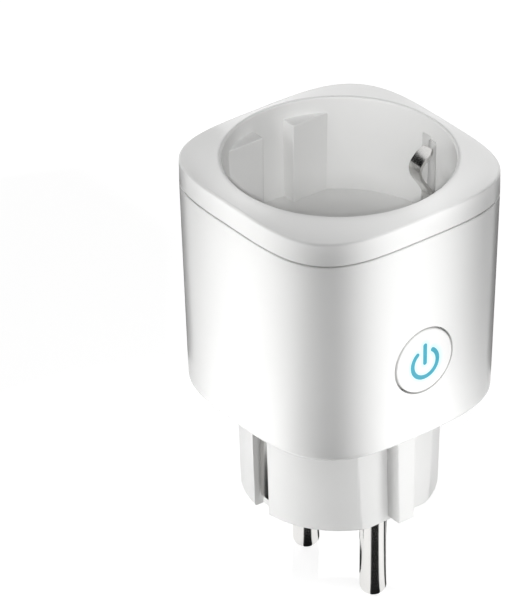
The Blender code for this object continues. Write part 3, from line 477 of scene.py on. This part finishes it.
seam = shoulder + housing_height
half_foot = half_top - body_taper
inner_top, inner_foot = half_top - body_wall, half_foot - body_wall
base_hole = base_radius + seat_gap
corner_gain = top_corner - foot_corner
outer_rise, inner_fall = housing_height - foot_round, housing_height - floor_thickness
wall_shares = [step / wall_steps for step in range(1, wall_steps)]
outer_wall = [
    (
        half_foot + body_taper * share,
        foot_corner + corner_gain * share,
        shoulder + foot_round + outer_rise * share,
    )
    for share in wall_shares
]
inner_wall = [
    (inner_top - body_taper * share, top_corner - corner_gain * share, seam - inner_fall * share)
    for share in wall_shares
]
housing_sections = [
    (base_hole, ROUND, shoulder),
    *rounded(foot_corner, (half_foot - foot_round, shoulder + foot_round), foot_round, -90, 0),
    *outer_wall,
    (half_top, top_corner, seam - seam_bevel), (half_top - seam_bevel, top_corner, seam),
    (inner_top, top_corner, seam),
    *inner_wall,
    (inner_foot, foot_corner, shoulder + floor_thickness), (base_hole, ROUND, shoulder + floor_thickness),
]
sleeve = loft("housing_sleeve", housing_sections, closed=True, around=288)
outwards = Matrix.Translation((0, 0, button_z * MM)) @ Matrix.Rotation(math.pi / 2, 4, "X")
button_opening = rod("button_opening", opening_radius, opening_near, opening_far, around=96)
button_opening.data.transform(outwards)
way_half, way_reach = tongue_half + seat_gap, tongue_reach + seat_gap
tongue_way = box("tongue_way", (-way_half, -way_reach, cut_low), (way_half, way_reach, way_top))
carve(sleeve, "DIFFERENCE", button_opening, tongue_way)
for at in screw_places.values():
    carve(
        sleeve, "DIFFERENCE",
        rod("head_seat", head_seat_radius, cut_low, shoulder + head_seat_depth, at),
        rod("screw_hole", screw_clear, shoulder, screw_hole_top, at),
    )
dress(sleeve, gloss_abs, "plug_body", "white_shell", "housing")


# Push button: a round cap of white ABS, thin enough at its face for the lamp to shine through the standby
# sign. It slides in the housing's opening, and its post presses the key switch behind it.
cap_face, cap_radius, cap_round = 23.142, 6.0, 0.25
lip_radius, lip_front, lip_back = 7.2, 21.142, 20.342
hollow_radius, hollow_front, post_radius, post_end = 5.0, 21.942, 1.6, 19.2
# The face has rings close enough together to carry the light's spread.
ring_step, ring_count = 0.16, 36
cap_profile = [
    *[(ring_step / 2 + ring_step * step, ROUND, cap_face) for step in range(ring_count)],
    *rounded(ROUND, (cap_radius - cap_round, cap_face - cap_round), cap_round, 90, 0, steps=6),
    (cap_radius, ROUND, lip_front), (lip_radius, ROUND, lip_front), (lip_radius, ROUND, lip_back),
    (hollow_radius, ROUND, lip_back), (hollow_radius, ROUND, hollow_front),
    (post_radius, ROUND, hollow_front), (post_radius, ROUND, post_end),
]
cap = loft("button_cap", cap_profile, around=128)
sign_x, sign_y, sign_radius, sign_half, gap_turn = 0.1, -0.5, 2.7, 0.4, 38
bar_low, bar_high = -0.45, 3.0
lit_above, light_spread = 23.1, 0.6


def to_sign(x, y):
    """Distance in millimetres from a point on the button's face to the sign's nearest stroke."""
    x, y = x - sign_x, y - sign_y
    turn = math.degrees(math.atan2(abs(x), y))
    gap = math.radians(gap_turn)
    end = Vector((sign_radius * math.sin(gap), sign_radius * math.cos(gap)))
    to_arc = abs(math.hypot(x, y) - sign_radius) if turn > gap_turn else (Vector((abs(x), y)) - end).length
    to_bar = math.hypot(x, max(bar_low - sign_y - y, 0, y - bar_high + sign_y))
    return max(min(to_arc, to_bar) - sign_half, 0)


glow = cap.data.attributes.new("glow", "FLOAT", "POINT")
for vert in cap.data.vertices:
    if vert.co.z > lit_above * MM:
        away = to_sign(vert.co.x / MM, vert.co.y / MM)
        glow.data[vert.index].value = math.exp(-((away / light_spread) ** 2))
cap.data.transform(outwards)

# Milky ABS: the same gloss skin, with the lamp's light spread about 1 mm round the sign inside the thin face.
lit_abs, tree, coords, shader = new_material("milky_white_abs")
peel = add(tree, "ShaderNodeTexNoise", {"Vector": coords, "Scale": 1 / (0.6 * MM), "Detail": 1.0})
skin = add(tree, "ShaderNodeBump", {"Height": peel.outputs["Fac"], "Strength": 0.03, "Distance": 0.01 * MM})
spread = add(tree, "ShaderNodeAttribute", {}, attribute_name="glow")
tint = add(
    tree, "ShaderNodeMix",
    {"Factor": spread.outputs["Fac"], "A": linear("#F4F4F3"), "B": linear("#D3F3F6")}, data_type="RGBA",
)
shine = add(tree, "ShaderNodeMath", {0: spread.outputs["Fac"], 1: 0.05}, operation="MULTIPLY")
shader.inputs["IOR"].default_value = 1.54
shader.inputs["Roughness"].default_value = 0.22
shader.inputs["Emission Color"].default_value = linear("#8FF4FF")
tree.links.new(tint.outputs["Result"], shader.inputs["Base Color"])
tree.links.new(shine.outputs["Value"], shader.inputs["Emission Strength"])
tree.links.new(skin.outputs["Normal"], shader.inputs["Normal"])
dress(cap, lit_abs, "button", "button_cap", "power_button")


# Standby sign: an open ring with a bar, in a tinted clear resin let into the button's face and lit from
# behind. It stands a hair proud of the face.
sign_seat, sign_depth = 23.122, 0.05


def stroke(bm, points, half):
    """A flat ribbon with round ends along a path, lying in the XY plane."""
    spine = [Vector(point) for point in points]
    edges = []
    for place, point in enumerate(spine):
        ahead = (spine[min(place + 1, len(spine) - 1)] - spine[max(place - 1, 0)]).normalized()
        edges.append((point, Vector((-ahead.y, ahead.x))))
    rim = [point + across * half for point, across in edges]
    last, across = edges[-1]
    turn = math.degrees(math.atan2(across.y, across.x))
    rim += [Vector(point) for point in arc(last, half, turn, turn - 180, steps=10)[1:-1]]
    rim += [point - across * half for point, across in reversed(edges)]
    first, across = edges[0]
    turn = math.degrees(math.atan2(-across.y, -across.x))
    rim += [Vector(point) for point in arc(first, half, turn, turn - 180, steps=10)[1:-1]]
    return bm.faces.new([bm.verts.new((point.x, point.y, 0)) for point in rim])


def raise_faces(bm, faces, height):
    """Draws flat faces up into blocks of this height."""
    drawn_up = bmesh.ops.extrude_face_region(bm, geom=faces)["geom"]
    lifted = [part for part in drawn_up if isinstance(part, bmesh.types.BMVert)]
    bmesh.ops.translate(bm, verts=lifted, vec=(0, 0, height))


bm = bmesh.new()
ring_path = arc((sign_x, sign_y), sign_radius, 90 + gap_turn, 450 - gap_turn, steps=48)
bar_path = [(sign_x, bar_low), (sign_x, bar_high)]
raise_faces(bm, [stroke(bm, ring_path, sign_half), stroke(bm, bar_path, sign_half)], sign_depth)
bmesh.ops.triangulate(bm, faces=bm.faces)
sign = make_piece("standby_sign", bm)
sign.data.transform(outwards @ Matrix.Translation((0, 0, sign_seat * MM)))

# Tinted clear resin: an even teal with a faint depth, which the lamp behind it lifts a little.
lit_resin, tree, coords, shader = new_material("lit_teal_resin")
depth = add(tree, "ShaderNodeTexNoise", {"Vector": coords, "Scale": 1 / (1.5 * MM), "Detail": 2.0})
tint = add(
    tree, "ShaderNodeMix",
    {"Factor": depth.outputs["Fac"], "A": linear("#3695AA"), "B": linear("#41A3B8")}, data_type="RGBA",
)
shader.inputs["Roughness"].default_value = 0.3
shader.inputs["Emission Color"].default_value = linear("#3FC3DC")
shader.inputs["Emission Strength"].default_value = 0.04
tree.links.new(tint.outputs["Result"], shader.inputs["Base Color"])
sign.data.materials.append(lit_resin)
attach(sign, "button")


# Socket cover: the top shell, moulded with the housing in gloss white ABS. Its rim caps the housing, and its
# deep round cup takes a plug between two pairs of guide ribs, with slots at the sides for the earth clips.
recess_radius, recess_draft, recess_depth, mouth_round = 19.93, 0.3, 18.2, 0.4
rim_fall, rim_round, seam_gap = 1.24, 0.5, 0.22
cup_wall, cup_floor = 1.3, 1.8
boss_radius, boss_low, sunk = 2.6, shoulder + 4.8, 0.45
pilot_low, pilot_top = shoulder + 4.5, shoulder + 13.3
rib_start, rib_plane, rib_reach, rib_drop, rib_round = 3.25, 16.73, 20.5, 3.0, 0.18
hole_radius, hole_mouth, hole_wide, hole_past = 3.0, 3.4, 3.5, 1.5
slot_near, slot_far, slot_half, slot_drop, below_floor = 19.23, 21.63, 1.85, 3.4, 3.6

recess_floor = shoulder + 27.17
recess_edge = recess_floor + recess_depth
rib_top = recess_edge - rib_drop
floor_radius = recess_radius - recess_draft
wall_height, cup_steps = recess_depth - mouth_round, 6
cover_sections = [
    (floor_radius, ROUND, recess_floor),
    *[
        (floor_radius + recess_draft * step / cup_steps, ROUND, recess_floor + wall_height * step / cup_steps)
        for step in range(1, cup_steps)
    ],
    *rounded(ROUND, (recess_radius + mouth_round, recess_edge - mouth_round), mouth_round, 180, 90),
    *rounded(top_corner, (half_top - rim_round, recess_edge - rim_fall - rim_round), rim_round, 90, 0),
    (half_top, top_corner, seam + seam_gap + seam_bevel),
    (half_top - seam_bevel, top_corner, seam + seam_gap),
    (recess_radius + cup_wall, ROUND, seam + seam_gap),
    (floor_radius + cup_wall, ROUND, recess_floor - cup_floor),
]
cover = loft("socket_shell", cover_sections, around=288)
for at in screw_places.values():
    carve(cover, "UNION", rod("boss", boss_radius, boss_low, recess_floor - sunk, at))
rib_turns = (math.degrees(math.asin(rib_plane / rib_reach)), math.degrees(math.acos(rib_start / rib_reach)))
rib_outline = [(rib_start, rib_plane), *arc((0, 0), rib_reach, *rib_turns, steps=10)]
for x_side in (-1, 1):
    for y_side in (-1, 1):
        bm = bmesh.new()
        rib_foot = [(x_side * x, y_side * y, recess_floor - sunk) for x, y in rib_outline]
        foot_face = bm.faces.new([bm.verts.new(point) for point in rib_foot])
        raise_faces(bm, [foot_face], rib_top - recess_floor + sunk)
        # The edges that meet at the rib's free corner show, apart from those sunk in the floor.
        corner, touching = Vector((x_side * rib_start, y_side * rib_plane)), 0.01
        shown = [
            edge for edge in bm.edges
            if any((vert.co.xy - corner).length < touching for vert in edge.verts)
            and any(vert.co.z > recess_floor for vert in edge.verts)
        ]
        bmesh.ops.bevel(bm, geom=shown, offset=rib_round, segments=3, profile=0.5, affect="EDGES")
        carve(cover, "UNION", make_piece("guide_rib", bm))
pin_hole_profile = [
    (hole_radius, ROUND, recess_floor - below_floor),
    (hole_radius, ROUND, recess_floor - hole_mouth + hole_radius),
    (hole_mouth, ROUND, recess_floor), (hole_wide, ROUND, recess_floor + hole_past),
]
for side in (-1, 1):
    pin_hole = shift(loft("pin_hole", pin_hole_profile, around=72), y=side * pin_y)
    slot_low, slot_high = span(side, slot_near, slot_far)
    clip_slot = box(
        "clip_slot",
        (slot_low, -slot_half, recess_floor - below_floor), (slot_high, slot_half, recess_edge - slot_drop),
    )
    carve(cover, "DIFFERENCE", clip_slot, pin_hole)
for at in screw_places.values():
    carve(cover, "DIFFERENCE", rod("pilot", screw_clear, pilot_low, pilot_top, at))
dress(cover, gloss_abs, "plug_body", "white_shell", "socket_cover")


# Earth clips: sprung leaves of the same plated strip, riveted by their feet to the straps. Each leans into
# the socket, bulges to meet a plug's side contact, and curls back into its slot at the tip.
clip_x, bulge = 19.83, 3.1
leaf_half, leaf_end_half, leaf_tip_halves = 1.5, 1.3, [1.45, 1.25, 0.8]
lean_low, lean_rise, lean_steps = recess_floor + 2.4, 6.9, 16
curl_rise, curl_steps = 3.2, 12
leaf_foot = [(clip_x, recess_floor + height) for height in (-8.7, -6.7, -4.7, -2.7, -0.7, 0.9)]
lean = [
    (
        clip_x - bulge * (1 - math.cos(math.pi * step / lean_steps)) / 2,
        lean_low + lean_rise * step / lean_steps,
    )
    for step in range(lean_steps + 1)
]
curl = [
    (
        clip_x - bulge * math.cos(math.pi / 2 * step / curl_steps),
        lean_low + lean_rise + curl_rise * step / curl_steps,
    )
    for step in range(1, curl_steps + 1)
]
leaf_path = leaf_foot + lean + curl
even_count = len(leaf_path) - 1 - len(leaf_tip_halves)
leaf_widths = [leaf_end_half] + [leaf_half] * even_count + leaf_tip_halves
for name, side in (("left", -1), ("right", 1)):
    leaf = strip(f"sprung_leaf_{name}", [(side * x, z) for x, z in leaf_path], leaf_widths)
    carve(leaf, "DIFFERENCE", rivet_hole(side))
    dress(leaf, rolled, f"clip_{name}", "nickel_plate", f"earth_clip_{name}")


# Cover screws: zinc-plated steel, pan headed with a cross recess, cutting their own thread in the cover's
# bosses. They come up from below through the housing and the plug moulding's flange.

# Zinc plate: a dull bright metal with a fine spangle about 0.6 mm across.
zinc, tree, coords, shader = new_material("zinc_plated_steel")
spangle = add(tree, "ShaderNodeTexNoise", {"Vector": coords, "Scale": 1 / (0.6 * MM), "Detail": 2.0})
zinc_gloss = add(
    tree, "ShaderNodeMapRange", {"Value": spangle.outputs["Fac"], "To Min": 0.25, "To Max": 0.42}
)
grain = add(
    tree, "ShaderNodeBump", {"Height": spangle.outputs["Fac"], "Strength": 0.1, "Distance": 0.01 * MM}
)
shader.inputs["Metallic"].default_value = 1.0
shader.inputs["Base Color"].default_value = linear("#C8CACB")
tree.links.new(zinc_gloss.outputs["Result"], shader.inputs["Roughness"])
tree.links.new(grain.outputs["Normal"], shader.inputs["Normal"])

cross_half, cross_reach, cross_low, cross_high = 0.3, 1.2, shoulder - 0.5, shoulder + 0.6
thread_low, thread_step, thread_count, thread_crest, thread_root = 1.5, 0.35, 27, 1.25, 1.0
# Each ring is a radius and a height over the shoulder.
head = ((1.2, 0), (1.75, 0.03), (2.0, 0.2), (2.15, 0.5), (2.2, 1.0), (1.1, 1.0))
thread = [
    (thread_crest if turn % 2 else thread_root, thread_low + thread_step * turn)
    for turn in range(thread_count)
]
point = ((0.9, 11.7), (0.3, 13.0))
screw_profile = [(radius, ROUND, shoulder + height) for radius, height in (*head, *thread, *point)]
for corner, at in screw_places.items():
    screw = loft(f"pan_screw_{corner}", screw_profile, around=40)
    carve(
        screw, "DIFFERENCE",
        box("cross_along", (-cross_reach, -cross_half, cross_low), (cross_reach, cross_half, cross_high)),
        box("cross_across", (-cross_half, -cross_reach, cross_low), (cross_half, cross_reach, cross_high)),
    )
    dress(shift(screw, *at), zinc, "plug_body", "screw_steel", f"cover_screw_{corner}")


# Studio: a white floor under the pins' tips, a white surround, strip lights close to the faces and lamps
# further off. Black cards show only as reflections, for the bright metal, and flags and a net shape the
# lamps' light.
floor_gap, floor_half, floor_glow, surround_light = 0.05, 3000, 0.785, 0.13
floor_z = solids_low.z / MM - floor_gap


def seen_directly(tree):
    """A socket that is 1 to the eye, in mirrors and through clear pieces, and 0 to bounced light."""
    ray = add(tree, "ShaderNodeLightPath", {})
    mirrored = add(
        tree, "ShaderNodeMath", {0: ray.outputs["Is Camera Ray"], 1: ray.outputs["Is Glossy Ray"]},
        operation="MAXIMUM",
    )
    through = add(
        tree, "ShaderNodeMath", {0: mirrored.outputs["Value"], 1: ray.outputs["Is Transmission Ray"]},
        operation="MAXIMUM",
    )
    return through.outputs["Value"]


bm = bmesh.new()
bmesh.ops.create_grid(bm, x_segments=1, y_segments=1, size=floor_half)
bmesh.ops.translate(bm, verts=bm.verts, vec=(0, 0, floor_z))
floor = make_piece("studio_floor", bm)
# Matt paper that looks white, but throws little light back up at the piece.
paper = bpy.data.materials.new("white_paper")
paper.use_nodes = True
tree = paper.node_tree
shader = tree.nodes["Principled BSDF"]
shader.inputs["Base Color"].default_value = linear("#A0A0A0")
shader.inputs["Roughness"].default_value = 0.9
lift = add(tree, "ShaderNodeMath", {0: seen_directly(tree), 1: floor_glow}, operation="MULTIPLY")
white = add(tree, "ShaderNodeEmission", {"Color": linear("#FFFFFF"), "Strength": lift.outputs["Value"]})
both = add(tree, "ShaderNodeAddShader", {0: shader.outputs["BSDF"], 1: white.outputs["Emission"]})
tree.links.new(both.outputs["Shader"], tree.nodes["Material Output"].inputs["Surface"])
floor.data.materials.append(paper)

world = bpy.data.worlds.new("white_surround")
bpy.context.scene.world = world
world.use_nodes = True
tree = world.node_tree
level = add(
    tree, "ShaderNodeMapRange", {"Value": seen_directly(tree), "To Min": surround_light, "To Max": 1.0}
)
tree.nodes["Background"].inputs["Color"].default_value = linear("#FFFFFF")
tree.links.new(level.outputs["Result"], tree.nodes["Background"].inputs["Strength"])

# The photograph's level direction, the one to its right, and the turn from +X to its viewpoint.
view_along, view_across, view_turn = Vector((0.6237, 0.7817, 0)), Vector((0.7817, -0.6237, 0)), -128.6
back_lamp, front_lamp = Vector((940, 1152, 1403)), Vector((-1075, -1347, 1060))
# Each lamp has its place, the way it faces, its width and height, and its power in watts.
lights = (
    ("left_strip", (-50, -3, 32), (1, 0, 0), 13.5, 96, 0.0181),
    ("front_strip", (-3.2, -33.5, 31.5), (0, 1, 0), 22.5, 95, 0.0081),
    ("base_strip", (-42, 0, 6), (1, 0, 0), 12, 26, 0.0017),
    ("flat_strip", (14, -44, 8), (-0.28, 0.96, 0), 12, 24, 0.0032),
    ("corner_light", (-374, -469, 25), view_along, 200, 200, 0.28),
    ("back_strip", (0, 52, 40), (0, -1, 0), 24, 112, 0.010),
    ("right_strip", (52, 0, 58), (-1, 0, 0), 24, 76, 0.007),
    ("left_light", (-920, 0, 455), (0.92, 0, -0.39), 300, 280, 2.6),
    ("back_light", back_lamp, (-0.47, -0.576, -0.669), 30, 30, 18),
    ("front_light", front_lamp, (0.5374, 0.6735, -0.5075), 60, 60, 18.5),
)
for name, place, facing, width, height, power in lights:
    lamp = bpy.data.lights.new(name, "AREA")
    lamp.shape = "RECTANGLE"
    lamp.size = width * MM
    lamp.size_y = height * MM
    lamp.energy = power
    light = bpy.data.objects.new(name, lamp)
    light.location = Vector(place) * MM
    light.rotation_euler = Vector(facing).to_track_quat("-Z", "Y").to_euler()
    light.visible_camera = False
    light.visible_glossy = False
    bpy.context.scene.collection.objects.link(light)


def hang_sheet(name, faces, material):
    """A thin studio sheet of flat faces, which the camera doesn't see."""
    bm = bmesh.new()
    for corners in faces:
        bm.faces.new([bm.verts.new(corner) for corner in corners])
    sheet = make_piece(name, bm)
    sheet.data.materials.append(material)
    sheet.visible_camera = False
    return sheet


# Matt black card, without any gloss.
black = bpy.data.materials.new("black_card")
black.use_nodes = True
black.node_tree.nodes["Principled BSDF"].inputs["Base Color"].default_value = linear("#262626")
black.node_tree.nodes["Principled BSDF"].inputs["Specular IOR Level"].default_value = 0.0
# Each floor card is a sector: its centre, its inner and outer reach, and its turns, counted to the right from
# the direction of the photograph's viewpoint. One more card stands behind the socket, for the clips.
card_sectors = (
    (0, -pin_y, 0, 48, -17, 46), (0, -pin_y, 0, 48, 98, 126),
    (0, pin_y, 0, 12, -17, 40), (0, pin_y, 0, 30, 98, 126),
    (-16.2, 0, 0, 48, -125, -85), (-18, 18, 66, 140, -185, -132), (18, -16, 66, 140, 132, 185),
)
card_lift = 0.03
cards = [[(-32, 11, 65.6), (6, 49, 65.6), (6, 49, 98), (-32, 11, 98)]]
for x, y, inner, outer, start, end in card_sectors:
    far_side = arc((x, y), outer, start + view_turn, end + view_turn, steps=24)
    near_side = arc((x, y), inner, end + view_turn, start + view_turn, steps=24) if inner else [(x, y)]
    cards.append([(*point, floor_z + card_lift) for point in far_side + near_side])
for number, corners in enumerate(cards):
    card = hang_sheet(f"black_card_{number}", [corners], black)
    card.visible_diffuse = False
    card.visible_transmission = False
    card.visible_shadow = False

# Black flags shape the lamps: one is cut to the object's outline, so that the front light reaches the socket
# and the rim alone, a disc keeps the back light on the rim and out of the socket, and a straight one keeps
# the left light off the left face. A low one keeps the corner light off the plug moulding. A net dims the
# front light on the socket's floor and on the rim before it.
outline_half, outline_drop, outline_reach = 23.3, 1.0, 150
net_radius, net_reach, far_foot = 19.6, 152, 70
disc_radius, disc_away = 20.2, 31
left_flag_x, left_flag_ends, left_flag_foot, left_flag_top = -58, (-27, 30), 0, 84
base_flag_reach, base_flag_half, base_flag_foot, base_flag_top = 40, 26, 2, 20


def before_lamp(point, reach):
    """Where the way from a point to the front lamp meets an upright plane, so far before the axis."""
    ahead = front_lamp - point
    return point - ahead * (reach + point.dot(view_along)) / ahead.dot(view_along)


def hang_from(edge, foot):
    """Upright faces that hang from an edge's points down to one height."""
    return [
        [left, right, (right.x, right.y, foot), (left.x, left.y, foot)] for left, right in zip(edge, edge[1:])
    ]


outline_edge = []
for turn in range(-93, 92, 2):
    angle = math.radians(turn + view_turn)
    reach = reach_at(angle, outline_half, top_corner)
    rim_point = Vector((reach * math.cos(angle), reach * math.sin(angle), recess_edge - outline_drop))
    outline_edge.append(before_lamp(rim_point, outline_reach))
net_edge = []
for turn in range(-90, 91, 5):
    across, along = net_radius * math.sin(math.radians(turn)), net_radius * math.cos(math.radians(turn))
    floor_point = view_across * across + view_along * along + Vector((0, 0, recess_floor))
    net_edge.append(before_lamp(floor_point, net_reach))
mouth_middle = Vector((0, 0, recess_edge))
disc_middle = mouth_middle + disc_away * (back_lamp - mouth_middle).normalized()
disc_edge = [(*point, disc_middle.z) for point in arc(disc_middle, disc_radius, 0, 355, steps=71)]
left_edge = [Vector((left_flag_x, y, left_flag_top)) for y in left_flag_ends]
base_middle = Vector((0, 0, base_flag_top)) - view_along * base_flag_reach
base_edge_line = [base_middle + view_across * reach for reach in (-base_flag_half, base_flag_half)]

# Open black net, which lets about a third of the light through.
net = bpy.data.materials.new("open_black_net")
net.use_nodes = True
tree = net.node_tree
holes = add(tree, "ShaderNodeBsdfTransparent", {"Color": linear("#A0A0A0")})
tree.links.new(holes.outputs["BSDF"], tree.nodes["Material Output"].inputs["Surface"])
hung = (
    ("outline_flag", hang_from(outline_edge, far_foot), black),
    ("floor_net", hang_from(net_edge, far_foot), net),
    ("socket_flag", [disc_edge], black),
    ("left_flag", hang_from(left_edge, left_flag_foot), black),
    ("base_flag", hang_from(base_edge_line, base_flag_foot), black),
)
for name, faces, material in hung:
    flag = hang_sheet(name, faces, material)
    flag.visible_glossy = False


# Camera: far off with a long lens, seeing the corner between the button's face and the left face from above.
# It aims to the left of the object's axis, as the photograph is framed.
view_back, view_up = Vector((-0.5291, -0.6631, 0.5297)), Vector((0.3304, 0.4141, 0.8483))
view_distance, aim_height, aim_left, aim_up = 908.7, 13.15, 13.05, 2.04
middle = Vector((0, 0, shoulder + aim_height)) * MM
aim = middle - view_across * aim_left * MM + view_up * aim_up * MM
lens = bpy.data.cameras.new("photo_lens")
lens.lens = 311.2
lens.sensor_width = 36.0
lens.clip_end = 10.0
camera = bpy.data.objects.new("photo_camera", lens)
camera.location = middle + view_back * view_distance * MM
towards = (camera.location - aim).normalized()
across = view_up.cross(towards).normalized()
camera.rotation_euler = Matrix((across, towards.cross(across), towards)).transposed().to_euler()
bpy.context.scene.collection.objects.link(camera)
bpy.context.scene.camera = camera
bpy.context.scene.view_settings.view_transform = "Standard"
